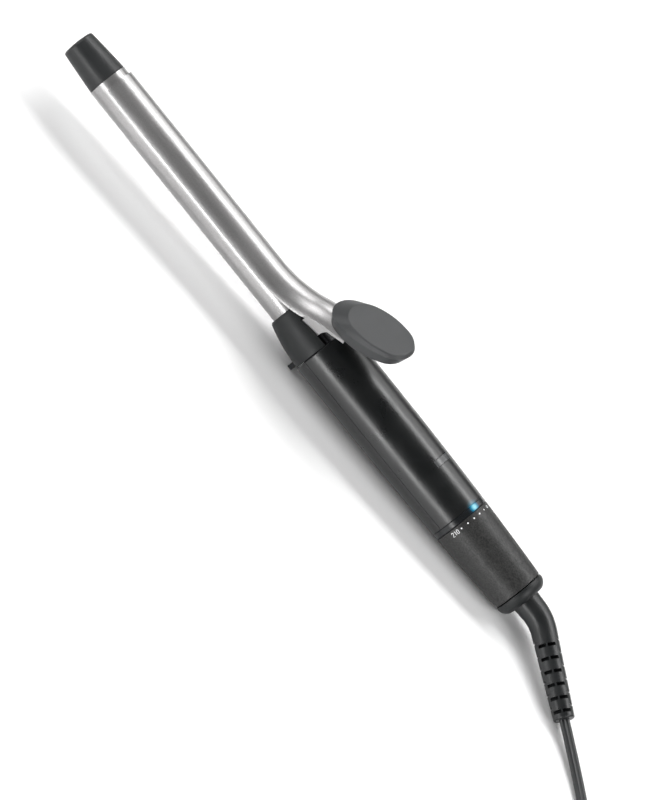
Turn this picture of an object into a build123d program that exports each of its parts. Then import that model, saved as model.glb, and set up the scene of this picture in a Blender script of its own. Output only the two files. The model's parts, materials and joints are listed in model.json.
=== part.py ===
"""A 19 mm curling iron with its swivel cord, as separate pieces. Millimetres, +Z up.

The iron lies on a table on its fold-out stand and the rim of its end cap, so its own long axis
leans a little. Every station "a" below is a distance along that axis from the cool tip's end.
The clip and its thumb lever are on top, and the cord leaves towards +X.
"""
import math
import os

from build123d import *

os.makedirs("parts", exist_ok=True)

# ---- driving dimensions -------------------------------------------------------------------
BARREL_R = 9.5            # outside of the heated tube
BARREL_WALL = 1.0
TIP_END_R = 7.7           # cool tip at its free end
TIP_R = 9.35              # cool tip where it meets the tube
TIP_END = 21.6            # station of the joint between cool tip and tube
TUBE_END = 156.8          # the tube ends inside the collar
COLLAR_START = 151.2
COLLAR_END = 173.7
COLLAR_R = 14.45          # collar at its rear rim
HANDLE_START = 174.0
HANDLE_END = 269.2
HANDLE_R = 14.75
HANDLE_TAIL_R = 14.0      # handle where it meets the light ring
HANDLE_WALL = 2.0
RING_END = 272.0
DIAL_START = 272.25
DIAL_END = 312.2
DIAL_R = 13.85            # dial at its front edge
DIAL_TAIL_R = 12.25
CAP_START = 312.7
CAP_RIM = 313.6           # the end cap's widest station, which rests on the table
CAP_R = 12.4
CAP_END = 317.9
NECK_R = 6.75

CLIP_OUT_R = 10.55        # outside of the clip's curved sheet
CLIP_SHEET = 0.77
CLIP_HALF_ANGLE = 63.5    # half of the arc that the clip wraps round the barrel
CLIP_START = 25.3
CLIP_LIFT_AT = 132.0      # the clip starts to rise off the barrel here
CLIP_LIFT_R = 50.0
CLIP_LIFT_ANGLE = 30.0
CLIP_EASE_R = 60.0
LEVER_TILT = 21.5
CLIP_TAIL = 11.5          # straight run of the clip inside the thumb lever
EAR_OUT = 8.8             # half width over the two hinge ears
EAR_SHEET = 0.8
PIVOT_AT = 163.4          # hinge pin, on the long axis
PIN_R = 1.5
RUNNING_GAP = 0.05
SLOT_HALF = 9.3           # half width of the slot in the collar for the clip's ears

LEVER_AT = 181.6          # middle of the thumb lever's ridge line
LEVER_UP = 31.0
LEVER_HALF = 20.7
LEVER_HALF_WIDTH = 13.0
LEVER_DEPTH = 5.7

STAND_AT = 171.6          # station of the stand's plate when it is folded out
STAND_REACH = 19.0        # long axis to the foot of the stand
STAND_HALF = 7.0
STAND_THICK = 2.5
STAND_PIVOT = 10.2        # depth of the stand's hinge pin below the long axis
STAND_PIN_R = 1.0
STAND_PIN_HALF = 9.2

CORD_WIDTH = 5.2
CORD_THICK = 3.1
CORD_LENGTH = 1800.0
SOLE = 0.1                # clearance of the cord's underside above the table

# ---- frame ---------------------------------------------------------------------------------
LEAN = math.degrees(math.atan((STAND_REACH - CAP_R) / (CAP_RIM - STAND_AT)))
SIN_LEAN = math.sin(math.radians(LEAN))
COS_LEAN = math.cos(math.radians(LEAN))
AXIS_HEIGHT = CAP_RIM * SIN_LEAN + CAP_R * COS_LEAN
IRON = Location((-CAP_END * COS_LEAN / 2, 0, AXIS_HEIGHT), (0, LEAN, 0))


def on_iron(plane):
    """A plane given in the iron's own axes, moved to where the iron lies."""
    return Plane(IRON * plane.location)


SIDE = on_iron(Plane.XZ)                     # sketch x runs along the iron, sketch y is up
LONG_AXIS = Axis(SIDE.origin, SIDE.x_dir)


def across(station):
    """The plane across the iron at a station: sketch x is +Y, sketch y is up."""
    return on_iron(Plane.YZ.offset(station))


def level(height):
    """The plane along the iron at a height above its long axis: sketch x is the station."""
    return on_iron(Plane.XY.offset(height))


def side_at(y):
    """The side plane moved to a distance y from the middle."""
    return on_iron(Plane.XZ.offset(-y))


def outline(*points, plane=SIDE):
    """A flat closed outline of straight edges."""
    with BuildSketch(plane) as flat:
        with BuildLine():
            Polyline(*points, close=True)
        make_face()
    return flat.sketch


def tube_outline(start, end, outer, inner):
    """Half section of a straight tube along the iron's axis."""
    return outline((start, inner), (end, inner), (end, outer), (start, outer))


def oval(half_length, half_width, end_radius, centre=(0, 0)):
    """A four-arc oval on the current sketch: two round ends joined by two shallow sides."""
    reach = half_length - end_radius
    side_r = (reach**2 + half_width**2 - end_radius**2) / (2 * (half_width - end_radius))
    drop = side_r - half_width
    slant = math.atan2(drop, reach)
    touch_x = reach + end_radius * math.cos(slant)
    touch_y = end_radius * math.sin(slant)
    x, y = centre
    corner = [(x + sx * touch_x, y + sy * touch_y) for sx, sy in ((1, 1), (-1, 1), (-1, -1), (1, -1))]
    ThreePointArc(corner[3], (x + half_length, y), corner[0])
    ThreePointArc(corner[0], (x, y + half_width), corner[1])
    ThreePointArc(corner[1], (x - half_length, y), corner[2])
    ThreePointArc(corner[2], (x, y - half_width), corner[3])


def write(piece, name):
    """Label a finished piece and write its STEP file."""
    piece.part.label = name
    export_step(piece.part, f"parts/{name}.step")


# ---- cool tip ------------------------------------------------------------------------------
TIP_BORE = 3.0
TIP_HEAD_DEPTH = 9.0
SPIGOT_R = BARREL_R - BARREL_WALL - 0.05
with BuildPart() as cool_tip:
    with BuildSketch(SIDE):
        with BuildLine():
            Line((0.35, TIP_BORE), (0.0, TIP_BORE + 0.4))
            Line((0.0, TIP_BORE + 0.4), (0.35, TIP_END_R - 1.1))
            ThreePointArc((0.35, TIP_END_R - 1.1), (0.75, TIP_END_R - 0.3), (1.6, TIP_END_R + 0.05))
            Spline((1.6, TIP_END_R + 0.05), (12.0, TIP_END_R + 0.95), (TIP_END - 0.4, TIP_R))
            Line((TIP_END - 0.4, TIP_R), (TIP_END, TIP_R - 0.3))
            Line((TIP_END, TIP_R - 0.3), (TIP_END, SPIGOT_R))
            Line((TIP_END, SPIGOT_R), (TIP_END + 7, SPIGOT_R))
            Line((TIP_END + 7, SPIGOT_R), (TIP_END + 7, 1.55))
            Line((TIP_END + 7, 1.55), (TIP_HEAD_DEPTH, 1.55))
            Line((TIP_HEAD_DEPTH, 1.55), (TIP_HEAD_DEPTH, TIP_BORE))
            Line((TIP_HEAD_DEPTH, TIP_BORE), (0.35, TIP_BORE))
        make_face()
    revolve(axis=LONG_AXIS)
write(cool_tip, "cool_tip")

with BuildPart() as tip_screw:
    revolve(
        outline((6.6, 0), (6.6, 1.9), (7.2, 2.6), (TIP_HEAD_DEPTH, 2.6), (TIP_HEAD_DEPTH, 1.45),
                (32.5, 1.45), (33.2, 0.8), (33.2, 0)),
        axis=LONG_AXIS,
    )
    with BuildSketch(across(6.6)):
        Rectangle(3.2, 0.7)
        Rectangle(0.7, 3.2)
    extrude(amount=1.1, mode=Mode.SUBTRACT)
write(tip_screw, "tip_screw")

with BuildPart() as tip_bracket:
    revolve(
        outline((29.0, 1.5), (29.0, 8.4), (30.5, 8.4), (30.5, 3.2), (34.0, 3.2), (34.0, 1.5)),
        axis=LONG_AXIS,
    )
write(tip_bracket, "tip_bracket")

# ---- heated barrel -------------------------------------------------------------------------
with BuildPart() as barrel_tube:
    revolve(tube_outline(TIP_END, TUBE_END, BARREL_R, BARREL_R - BARREL_WALL), axis=LONG_AXIS)
write(barrel_tube, "barrel_tube")

HEATER_START = 38.0
HEATER_END = 138.0
HEATER_HALF = 1.2
SPREADER_R = 8.3
THERMISTOR_AT = 110.0
for name, up in (("heat_spreader_upper", 1), ("heat_spreader_lower", -1)):
    with BuildPart() as heat_spreader:
        with BuildSketch(across(HEATER_START)):
            Circle(SPREADER_R)
            with Locations((0, -up * (SPREADER_R - HEATER_HALF - 0.05))):
                Rectangle(4 * SPREADER_R, 2 * SPREADER_R, mode=Mode.SUBTRACT)
            with Locations((0, up * 5.0)):
                Rectangle(3.0, 2.4, mode=Mode.SUBTRACT)
        extrude(amount=HEATER_END - HEATER_START)
    write(heat_spreader, name)

with BuildPart() as heater_plate:
    with BuildSketch(across(HEATER_START + 3)):
        Rectangle(12.0, 2 * HEATER_HALF)
    extrude(amount=HEATER_END - HEATER_START - 6)
write(heater_plate, "heater_plate")

with BuildPart() as thermistor:
    with BuildSketch(across(THERMISTOR_AT)):
        with Locations((0, -5.0)):
            Circle(1.0)
    extrude(amount=HEATER_END + 4 - THERMISTOR_AT)
write(thermistor, "thermistor")

# ---- barrel holder: the insulating hub that carries the tube, the hinge and the handle -------
HOLDER_HALF = 7.6
FLANGE_START = 174.6
with BuildPart() as barrel_holder:
    with BuildSketch(across(144.0)):
        Circle(BARREL_R - BARREL_WALL - 0.05)
    extrude(amount=TUBE_END - 144.0 + 0.5)
    with BuildSketch(across(TUBE_END + 0.05)):
        RectangleRounded(2 * HOLDER_HALF, 16.0, 2.0)
    extrude(amount=FLANGE_START - TUBE_END)
    with BuildSketch(across(FLANGE_START)):
        Circle(11.9)
    extrude(amount=177.0 - FLANGE_START)
    for start, length, reach in ((FLANGE_START, 2.0, 11.9), (COLLAR_END, 1.0, 12.45)):
        with BuildSketch(across(start)):
            for side in (1, -1):
                with Locations((side * 10.6, 0)):
                    Rectangle(2.2, 8.0)
            Circle(reach, mode=Mode.INTERSECT)
        extrude(amount=-length)
    with BuildSketch(across(143.0)):
        Circle(5.6)
    extrude(amount=36.0, mode=Mode.SUBTRACT)
    with BuildSketch(side_at(0)):
        with Locations((PIVOT_AT, 0)):
            Circle(PIN_R)
    extrude(amount=HOLDER_HALF + 1, both=True, mode=Mode.SUBTRACT)
write(barrel_holder, "barrel_holder")

with BuildPart() as hinge_pins:
    for y in (1, -1):
        with BuildSketch(side_at(y * 5.7)):
            with Locations((PIVOT_AT, 0)):
                Circle(PIN_R)
        extrude(amount=-y * 4.4)
write(hinge_pins, "hinge_pins")

# ---- collar --------------------------------------------------------------------------------
COLLAR_WALL = 1.8
with BuildPart() as collar:
    with BuildSketch(SIDE):
        with BuildLine():
            Line((COLLAR_START, BARREL_R + 0.2), (COLLAR_START, 10.6))
            Line((COLLAR_START, 10.6), (COLLAR_START + 0.8, 11.3))
            ThreePointArc((COLLAR_START + 0.8, 11.3), (161.6, 13.5), (COLLAR_END - 0.3, COLLAR_R))
            Line((COLLAR_END - 0.3, COLLAR_R), (COLLAR_END, COLLAR_R - 0.3))
            Line((COLLAR_END, COLLAR_R - 0.3), (COLLAR_END, COLLAR_R - COLLAR_WALL))
            Line((COLLAR_END, COLLAR_R - COLLAR_WALL), (161.6, 13.5 - COLLAR_WALL))
            Line((161.6, 13.5 - COLLAR_WALL), (154.5, BARREL_R + 0.2))
            Line((154.5, BARREL_R + 0.2), (COLLAR_START, BARREL_R + 0.2))
        make_face()
    revolve(axis=LONG_AXIS)
    with BuildSketch(level(4.0)):
        with BuildLine():
            Polyline((COLLAR_START - 1, 7.9), (156.9, 7.9), (158.4, SLOT_HALF), (COLLAR_END + 1, SLOT_HALF),
                     (COLLAR_END + 1, -SLOT_HALF), (158.4, -SLOT_HALF), (156.9, -7.9),
                     (COLLAR_START - 1, -7.9), close=True)
        make_face()
    extrude(amount=14, mode=Mode.SUBTRACT)
    with BuildSketch(level(-8.6)):
        with Locations((STAND_AT - 3.8, 0)):
            Rectangle(14.0, 2 * STAND_HALF + 0.8)
    extrude(amount=-8, mode=Mode.SUBTRACT)
    with BuildSketch(SIDE):
        with Locations((STAND_AT, -STAND_PIVOT)):
            Circle(STAND_PIN_R)
    extrude(amount=STAND_PIN_HALF, both=True, mode=Mode.SUBTRACT)
write(collar, "collar")

# ---- handle shells -------------------------------------------------------------------------
SEAM = 0.11               # half of the parting gap between the two shells


def handle_radius(station):
    """Outside radius of the handle: straight at the front, then a slow taper."""
    run = max(0.0, station - 215.0) / (HANDLE_END - 215.0)
    return HANDLE_R - (HANDLE_R - HANDLE_TAIL_R) * run**1.6


SHELL_STATIONS = [HANDLE_START + 0.3, 195.0, 215.0, 233.0, 251.0, HANDLE_END - 0.15]
BUTTON_AT = 245.5
BUTTON_LENGTH = 3.2
BUTTON_HALF_ANGLE = 19.0
SCREW_STATIONS = (183.0, 222.0, 262.5)
BOSS_R = 3.1
BOARD_UP = 2.6
for name, up in (("handle_upper", 1), ("handle_lower", -1)):
    with BuildPart() as handle_shell:
        with BuildSketch(SIDE):
            with BuildLine():
                Line((HANDLE_START, 12.0), (HANDLE_START, HANDLE_R - 0.3))
                Line((HANDLE_START, HANDLE_R - 0.3), (SHELL_STATIONS[0], HANDLE_R))
                Spline([(a, handle_radius(a)) for a in SHELL_STATIONS])
                Line((SHELL_STATIONS[-1], handle_radius(SHELL_STATIONS[-1])),
                     (HANDLE_END, HANDLE_TAIL_R - 0.15))
                Polyline((HANDLE_END, HANDLE_TAIL_R - 0.15), (HANDLE_END, 9.3), (267.2, 9.3),
                         (267.2, HANDLE_TAIL_R - HANDLE_WALL), (215.0, HANDLE_R - HANDLE_WALL),
                         (177.1, HANDLE_R - HANDLE_WALL), (177.1, 12.0), (HANDLE_START, 12.0))
            make_face()
        revolve(axis=LONG_AXIS)
        for station in SCREW_STATIONS:
            reach = handle_radius(station) - HANDLE_WALL + 0.6
            with BuildSketch(level(up * 0.2)):
                with Locations((station, 0)):
                    Circle(BOSS_R)
            extrude(amount=up * (reach - 0.2))
        with BuildSketch(level(up * SEAM)):
            with Locations((220, 0)):
                Rectangle(110, 34)
        extrude(amount=-up * 20, mode=Mode.SUBTRACT)
        for station in SCREW_STATIONS:
            with BuildSketch(level(up * SEAM)):
                with Locations((station, 0)):
                    Circle(1.15 if up > 0 else 1.5)
            extrude(amount=up * (9.5 if up > 0 else 20), mode=Mode.SUBTRACT)
        if up < 0:
            for station in SCREW_STATIONS:
                with BuildSketch(level(-8.2)):
                    with Locations((station, 0)):
                        Circle(2.7)
                extrude(amount=-10, mode=Mode.SUBTRACT)
        else:
            with BuildSketch(level(8)):
                with Locations((BUTTON_AT, 0)):
                    half = HANDLE_R * math.sin(math.radians(BUTTON_HALF_ANGLE))
                    Rectangle(BUTTON_LENGTH + 0.4, 2 * half + 0.4)
            extrude(amount=10, mode=Mode.SUBTRACT)
    write(handle_shell, name)

with BuildPart() as handle_screws:
    for station in SCREW_STATIONS:
        with BuildSketch(level(-10.2)):
            with Locations((station, 0)):
                Circle(2.5)
        extrude(amount=2.0)
        with BuildSketch(level(-8.2)):
            with Locations((station, 0)):
                Circle(1.1)
        extrude(amount=8.2 + 7.5)
        with BuildSketch(level(-10.2)):
            with Locations((station, 0)):
                Rectangle(2.8, 0.6)
                Rectangle(0.6, 2.8)
        extrude(amount=1.0, mode=Mode.SUBTRACT)
write(handle_screws, "handle_screws")

# ---- clip, thumb lever and spring -----------------------------------------------------------
LIFT_SIN = math.sin(math.radians(CLIP_LIFT_ANGLE))
LIFT_COS = math.cos(math.radians(CLIP_LIFT_ANGLE))
TILT_SIN = math.sin(math.radians(LEVER_TILT))
TILT_COS = math.cos(math.radians(LEVER_TILT))
LIFT_END = (CLIP_LIFT_AT + CLIP_LIFT_R * LIFT_SIN, CLIP_OUT_R + CLIP_LIFT_R * (1 - LIFT_COS))
EASE_END = (LIFT_END[0] + CLIP_EASE_R * (LIFT_SIN - TILT_SIN),
            LIFT_END[1] + CLIP_EASE_R * (TILT_COS - LIFT_COS))
TAIL_END = (EASE_END[0] + CLIP_TAIL * TILT_COS, EASE_END[1] + CLIP_TAIL * TILT_SIN)


def clip_crest():
    """The line along the top of the clip, from its front edge to its tail."""
    with BuildLine(SIDE) as crest:
        Line((CLIP_START, CLIP_OUT_R), (CLIP_LIFT_AT, CLIP_OUT_R))
        RadiusArc((CLIP_LIFT_AT, CLIP_OUT_R), LIFT_END, -CLIP_LIFT_R)
        RadiusArc(LIFT_END, EASE_END, CLIP_EASE_R)
        Line(EASE_END, TAIL_END)
    return crest.wires()[0]


def clip_section(outer, inner, half_angle):
    """The clip's cross-section at its front edge: an arc of sheet over the barrel."""
    turn = math.radians(half_angle)
    with BuildSketch(across(CLIP_START)) as section:
        with BuildLine():
            left, right = -math.sin(turn), math.sin(turn)
            up = math.cos(turn)
            ThreePointArc((left * outer, up * outer), (0, outer), (right * outer, up * outer))
            if inner > 0:
                Line((right * outer, up * outer), (right * inner, up * inner))
                ThreePointArc((right * inner, up * inner), (0, inner), (left * inner, up * inner))
                Line((left * inner, up * inner), (left * outer, up * outer))
            else:
                Polyline((right * outer, up * outer), (right * outer, -4), (left * outer, -4),
                         (left * outer, up * outer))
        make_face()
    return section.sketch


def lever_plane(run, rise, turn=0):
    """A plane in the thumb lever: run along its ridge, rise above it, turned by so many degrees."""
    origin = (LEVER_AT + run * TILT_COS - rise * TILT_SIN, 0, LEVER_UP + run * TILT_SIN + rise * TILT_COS)
    slope = math.radians(LEVER_TILT + turn)
    x_dir = (math.cos(slope), 0, math.sin(slope))
    z_dir = (-math.sin(slope), 0, math.cos(slope))
    return on_iron(Plane(origin=origin, x_dir=x_dir, z_dir=z_dir))


LEVER_NORMAL = lever_plane(0, 0).z_dir
LEVER_SCREW_R = 1.2
LEVER_SCREW_PLANE = on_iron(Plane(
    origin=(EASE_END[0] + 8.6 * TILT_COS, 0, EASE_END[1] + 8.6 * TILT_SIN),
    x_dir=(TILT_COS, 0, TILT_SIN), z_dir=(-TILT_SIN, 0, TILT_COS)))
CLIP_IN_R = CLIP_OUT_R - CLIP_SHEET
EAR_FRONT = PIVOT_AT - 4.8
EAR_REAR = PIVOT_AT + 4.8
EDGE_DROP = CLIP_OUT_R - math.sqrt(CLIP_OUT_R**2 - EAR_OUT**2) + 0.07
with BuildPart() as clip:
    sweep(clip_section(CLIP_OUT_R, CLIP_IN_R, CLIP_HALF_ANGLE), path=clip_crest())
    with BuildSketch(level(-2)):
        for y in (1, -1):
            with BuildLine():
                Polyline((156.0, y * 14), (156.0, y * 9.7), (EAR_FRONT, y * EAR_OUT), (190, y * EAR_OUT),
                         (190, y * 14), close=True)
            make_face()
    extrude(amount=40, mode=Mode.SUBTRACT)
    with BuildSketch(level(0)):
        for y in (1, -1):
            with BuildLine():
                ThreePointArc((CLIP_START, y * 7.2), (CLIP_START + 1.0, y * 8.9), (CLIP_START + 4.6, y * 9.6))
                Polyline((CLIP_START + 4.6, y * 9.6), (CLIP_START + 4.6, y * 12), (CLIP_START - 1, y * 12),
                         (CLIP_START - 1, y * 7.2), (CLIP_START, y * 7.2))
            make_face()
    extrude(amount=12, mode=Mode.SUBTRACT)
    for y in (1, -1):
        with BuildSketch(side_at(y * (EAR_OUT - EAR_SHEET))):
            with BuildLine():
                ThreePointArc((EAR_REAR, 0), (PIVOT_AT, -4.8), (EAR_FRONT, 0))
                Line((EAR_FRONT, 0), (EAR_FRONT, LIFT_END[1] + 0.6 - EDGE_DROP))
                Line((EAR_FRONT, LIFT_END[1] + 0.6 - EDGE_DROP), (EASE_END[0], EASE_END[1] - EDGE_DROP))
                Line((EASE_END[0], EASE_END[1] - EDGE_DROP), (171.6, EASE_END[1] - EDGE_DROP + 6.6 * 0.394))
                ThreePointArc((171.6, EASE_END[1] - EDGE_DROP + 6.6 * 0.394), (169.2, 15.6), (EAR_REAR, 12.6))
                Line((EAR_REAR, 12.6), (EAR_REAR, 0))
            make_face()
        extrude(amount=-y * EAR_SHEET)
    with BuildSketch(side_at(0)):
        with Locations((PIVOT_AT, 0)):
            Circle(PIN_R + RUNNING_GAP)
    extrude(amount=12, both=True, mode=Mode.SUBTRACT)
    with BuildSketch(LEVER_SCREW_PLANE):
        Circle(LEVER_SCREW_R + RUNNING_GAP)
    extrude(amount=3, both=True, mode=Mode.SUBTRACT)
write(clip, "clip")


def oval_sketch(plane, half_length, half_width, end_radius):
    """A four-arc oval as a flat sketch."""
    with BuildSketch(plane) as flat:
        with BuildLine():
            oval(half_length, half_width, end_radius)
        make_face()
    return flat.sketch


FACE_SLOPE = 3.0          # the thumb face is flatter than the lever's ridge plane by this
with BuildPart() as thumb_lever:
    ridge = oval_sketch(lever_plane(0, 0), LEVER_HALF, LEVER_HALF_WIDTH - 0.2, 11.2)
    face = oval_sketch(lever_plane(3.3, 2.7, -FACE_SLOPE), 16.4, 11.9, 10.9)
    underside = oval_sketch(lever_plane(-0.9, -LEVER_DEPTH), 18.5, 12.0, 10.0)
    loft([ridge, face], ruled=True)
    loft([ridge, underside], ruled=True)
    fillet(thumb_lever.faces().sort_by(Axis((0, 0, 0), LEVER_NORMAL))[-1].edges(), 0.9)
    fillet(thumb_lever.faces().sort_by(Axis((0, 0, 0), LEVER_NORMAL))[0].edges(), 0.9)
    sweep(clip_section(CLIP_OUT_R, 0, CLIP_HALF_ANGLE), path=clip_crest(), mode=Mode.SUBTRACT)
    with BuildSketch(LEVER_SCREW_PLANE.offset(-1)):
        Circle(LEVER_SCREW_R)
    extrude(amount=5.2, mode=Mode.SUBTRACT)
write(thumb_lever, "thumb_lever")

with BuildPart() as lever_screw:
    with BuildSketch(LEVER_SCREW_PLANE):
        Circle(LEVER_SCREW_R)
    extrude(amount=4.0)
    with BuildSketch(LEVER_SCREW_PLANE.offset(-1.1)):
        Circle(LEVER_SCREW_R)
    extrude(amount=1.1)
    with BuildSketch(LEVER_SCREW_PLANE.offset(-2.3)):
        Circle(1.9)
    extrude(amount=1.2)
    with BuildSketch(LEVER_SCREW_PLANE.offset(-2.3)):
        Rectangle(2.2, 0.5)
        Rectangle(0.5, 2.2)
    extrude(amount=0.7, mode=Mode.SUBTRACT)
write(lever_screw, "lever_screw")

SPRING_AT = 169.2
SPRING_FOOT = 9.0
with BuildPart() as spring_housing:
    with BuildSketch(SIDE):
        with BuildLine():
            Line((168.4, 8.0), (168.4, 12.2))
            ThreePointArc((168.4, 12.2), (169.7, 15.2), (172.7, 16.4))
            Polyline((172.7, 16.4), (173.9, 16.0), (173.9, 8.0), (168.4, 8.0))
        make_face()
    extrude(amount=6.6, both=True)
    with BuildSketch(SIDE):
        with Locations((171.15, 10.05)):
            Rectangle(5.5, 4.1)
    extrude(amount=HOLDER_HALF, both=True)
    with BuildSketch(level(8.0)):
        with Locations((SPRING_AT, 0)):
            Circle(3.6)
    extrude(amount=6.0)
    with BuildSketch(level(SPRING_FOOT)):
        with Locations((SPRING_AT, 0)):
            Circle(2.8)
    extrude(amount=9, mode=Mode.SUBTRACT)
write(spring_housing, "spring_housing")

SPRING_WIRE = 0.7
SPRING_LENGTH = 11.2
SPRING_TURNS = 7
with BuildPart() as clip_spring:
    with BuildLine(on_iron(Plane((SPRING_AT, 0, SPRING_FOOT + SPRING_WIRE / 2 + 0.05)))):
        coil = Helix(SPRING_LENGTH / SPRING_TURNS, SPRING_LENGTH, 2.2)
    with BuildSketch(Plane(coil @ 0, z_dir=coil % 0)):
        Circle(SPRING_WIRE / 2)
    sweep(path=coil, is_frenet=True)
write(clip_spring, "clip_spring")

# ---- fold-out stand --------------------------------------------------------------------------
with BuildPart() as stand:
    with BuildSketch(SIDE):
        with Locations((STAND_AT, -(STAND_PIVOT + STAND_REACH - STAND_THICK / 2) / 2)):
            SlotCenterToCenter(STAND_REACH - STAND_THICK / 2 - STAND_PIVOT, STAND_THICK, rotation=90)
        with Locations((STAND_AT, -STAND_PIVOT)):
            Circle(1.85)
            Circle(STAND_PIN_R + RUNNING_GAP, mode=Mode.SUBTRACT)
    extrude(amount=STAND_HALF, both=True)
    with BuildSketch(across(STAND_AT - 4)):
        with Locations((0, -STAND_REACH / 2)):
            RectangleRounded(2 * STAND_HALF, STAND_REACH, 3.0)
    extrude(amount=8, mode=Mode.INTERSECT)
write(stand, "stand")

with BuildPart() as stand_pin:
    with BuildSketch(SIDE):
        with Locations((STAND_AT, -STAND_PIVOT)):
            Circle(STAND_PIN_R)
    extrude(amount=STAND_PIN_HALF, both=True)
write(stand_pin, "stand_pin")

# ---- inside the handle -----------------------------------------------------------------------
BOARD_THICK = 1.6
BOARD_TOP = BOARD_UP + BOARD_THICK
with BuildPart() as control_board:
    with BuildSketch(level(BOARD_UP)):
        with Locations((222.5, 0)):
            Rectangle(72, 20)
        with Locations((SCREW_STATIONS[1], 0)):
            Circle(BOSS_R + 0.3, mode=Mode.SUBTRACT)
    extrude(amount=BOARD_THICK)
write(control_board, "control_board")

with BuildPart() as triac:
    with BuildSketch(level(BOARD_TOP)):
        with Locations((198, 4)):
            Rectangle(9, 10)
    extrude(amount=4.4)
write(triac, "triac")

with BuildPart() as film_capacitor:
    with BuildSketch(level(BOARD_TOP)):
        with Locations((210, -3)):
            Rectangle(12, 6)
    extrude(amount=6.0)
write(film_capacitor, "film_capacitor")

with BuildPart() as heater_leads:
    for y in (3, -3):
        with BuildSketch(across(HEATER_END + 0.2)):
            with Locations((y, 0)):
                Circle(0.9)
        extrude(amount=178.5 - HEATER_END - 0.2)
write(heater_leads, "heater_leads")

with BuildPart() as button_switch:
    with BuildSketch(level(BOARD_TOP)):
        with Locations((BUTTON_AT, 0)):
            Rectangle(6, 6)
    extrude(amount=3.4)
    with BuildSketch(level(BOARD_TOP + 3.4)):
        with Locations((BUTTON_AT, 0)):
            Circle(1.5)
    extrude(amount=1.4)
write(button_switch, "button_switch")

with BuildPart() as power_button:
    with BuildSketch(across(BUTTON_AT - BUTTON_LENGTH / 2)):
        Circle(handle_radius(BUTTON_AT) + 0.15)
        Circle(12.0, mode=Mode.SUBTRACT)
        with Locations((0, 12)):
            Rectangle(2 * HANDLE_R * math.sin(math.radians(BUTTON_HALF_ANGLE)), 12, mode=Mode.INTERSECT)
    extrude(amount=BUTTON_LENGTH)
    with BuildSketch(across(BUTTON_AT - 2.4)):
        Circle(12.1)
        Circle(11.3, mode=Mode.SUBTRACT)
        with Locations((0, 12)):
            Rectangle(11.4, 12, mode=Mode.INTERSECT)
    extrude(amount=4.8)
    with BuildSketch(level(9.8)):
        with Locations((BUTTON_AT, 0)):
            Circle(1.3)
    extrude(amount=2.2)
write(power_button, "power_button")

# ---- light ring, dial and end cap ------------------------------------------------------------
SPINDLE_R = 8.1
with BuildPart() as rear_spindle:
    revolve(
        outline((265.8, 5.8), (265.8, 11.2), (267.1, 11.2), (267.1, 9.2), (269.35, 9.2), (269.35, 11.4),
                (270.05, 11.4), (270.05, SPINDLE_R), (312.6, SPINDLE_R), (312.6, 6.8), (303.6, 6.8),
                (303.6, 5.8)),
        axis=LONG_AXIS,
    )
write(rear_spindle, "rear_spindle")

with BuildPart() as light_ring:
    revolve(
        outline((HANDLE_END + 0.1, 11.6), (HANDLE_END + 0.1, 13.75), (HANDLE_END + 0.3, 13.92),
                (RING_END - 0.2, 13.88), (RING_END, 13.7), (RING_END, 11.6)),
        axis=LONG_AXIS,
    )
write(light_ring, "light_ring")

LED_ANGLE = 10.0          # from the top towards the front of the iron
with BuildPart() as led:
    with BuildSketch(across(270.1)):
        with Locations(Location((0, 0), LED_ANGLE)):
            with Locations((0, 10.2)):
                Rectangle(3.4, 2.2)
    extrude(amount=1.8)
write(led, "led")

with BuildPart() as dial:
    with BuildSketch(SIDE):
        with BuildLine():
            Line((DIAL_START, SPINDLE_R + 0.06), (DIAL_START, DIAL_R - 0.25))
            Line((DIAL_START, DIAL_R - 0.25), (DIAL_START + 0.25, DIAL_R))
            ThreePointArc((DIAL_START + 0.25, DIAL_R), (292.5, 13.16), (DIAL_END - 0.25, DIAL_TAIL_R))
            Line((DIAL_END - 0.25, DIAL_TAIL_R), (DIAL_END, DIAL_TAIL_R - 0.25))
            Polyline((DIAL_END, DIAL_TAIL_R - 0.25), (DIAL_END, SPINDLE_R + 0.06),
                     (DIAL_END - 2, SPINDLE_R + 0.06), (DIAL_END - 2, 10.2), (292.5, 11.2), (275, 11.8),
                     (275, SPINDLE_R + 0.06), (DIAL_START, SPINDLE_R + 0.06))
        make_face()
    revolve(axis=LONG_AXIS)
write(dial, "dial")

with BuildPart() as encoder_rotor:
    revolve(tube_outline(275.0, 278.0, 11.6, 8.9), axis=LONG_AXIS)
    with BuildSketch(across(278.0)):
        with PolarLocations(10.2, 3):
            Circle(0.6)
    extrude(amount=1.4)
write(encoder_rotor, "encoder_rotor")

with BuildPart() as encoder_stator:
    revolve(tube_outline(279.8, 281.4, 11.0, SPINDLE_R + 0.05), axis=LONG_AXIS)
write(encoder_stator, "encoder_stator")

with BuildPart() as end_cap:
    with BuildSketch(SIDE):
        with BuildLine():
            Line((CAP_START, 6.75), (CAP_START, CAP_R - 0.2))
            Line((CAP_START, CAP_R - 0.2), (CAP_RIM, CAP_R))
            ThreePointArc((CAP_RIM, CAP_R), (316.2, 11.4), (CAP_END, 9.2))
            Line((CAP_END, 9.2), (CAP_END - 0.25, 7.1))
            Polyline((CAP_END - 0.25, 7.1), (314.3, 7.1), (314.3, 5.7), (306.3, 5.7), (306.3, 6.75),
                     (CAP_START, 6.75))
        make_face()
    revolve(axis=LONG_AXIS)
write(end_cap, "end_cap")

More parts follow.
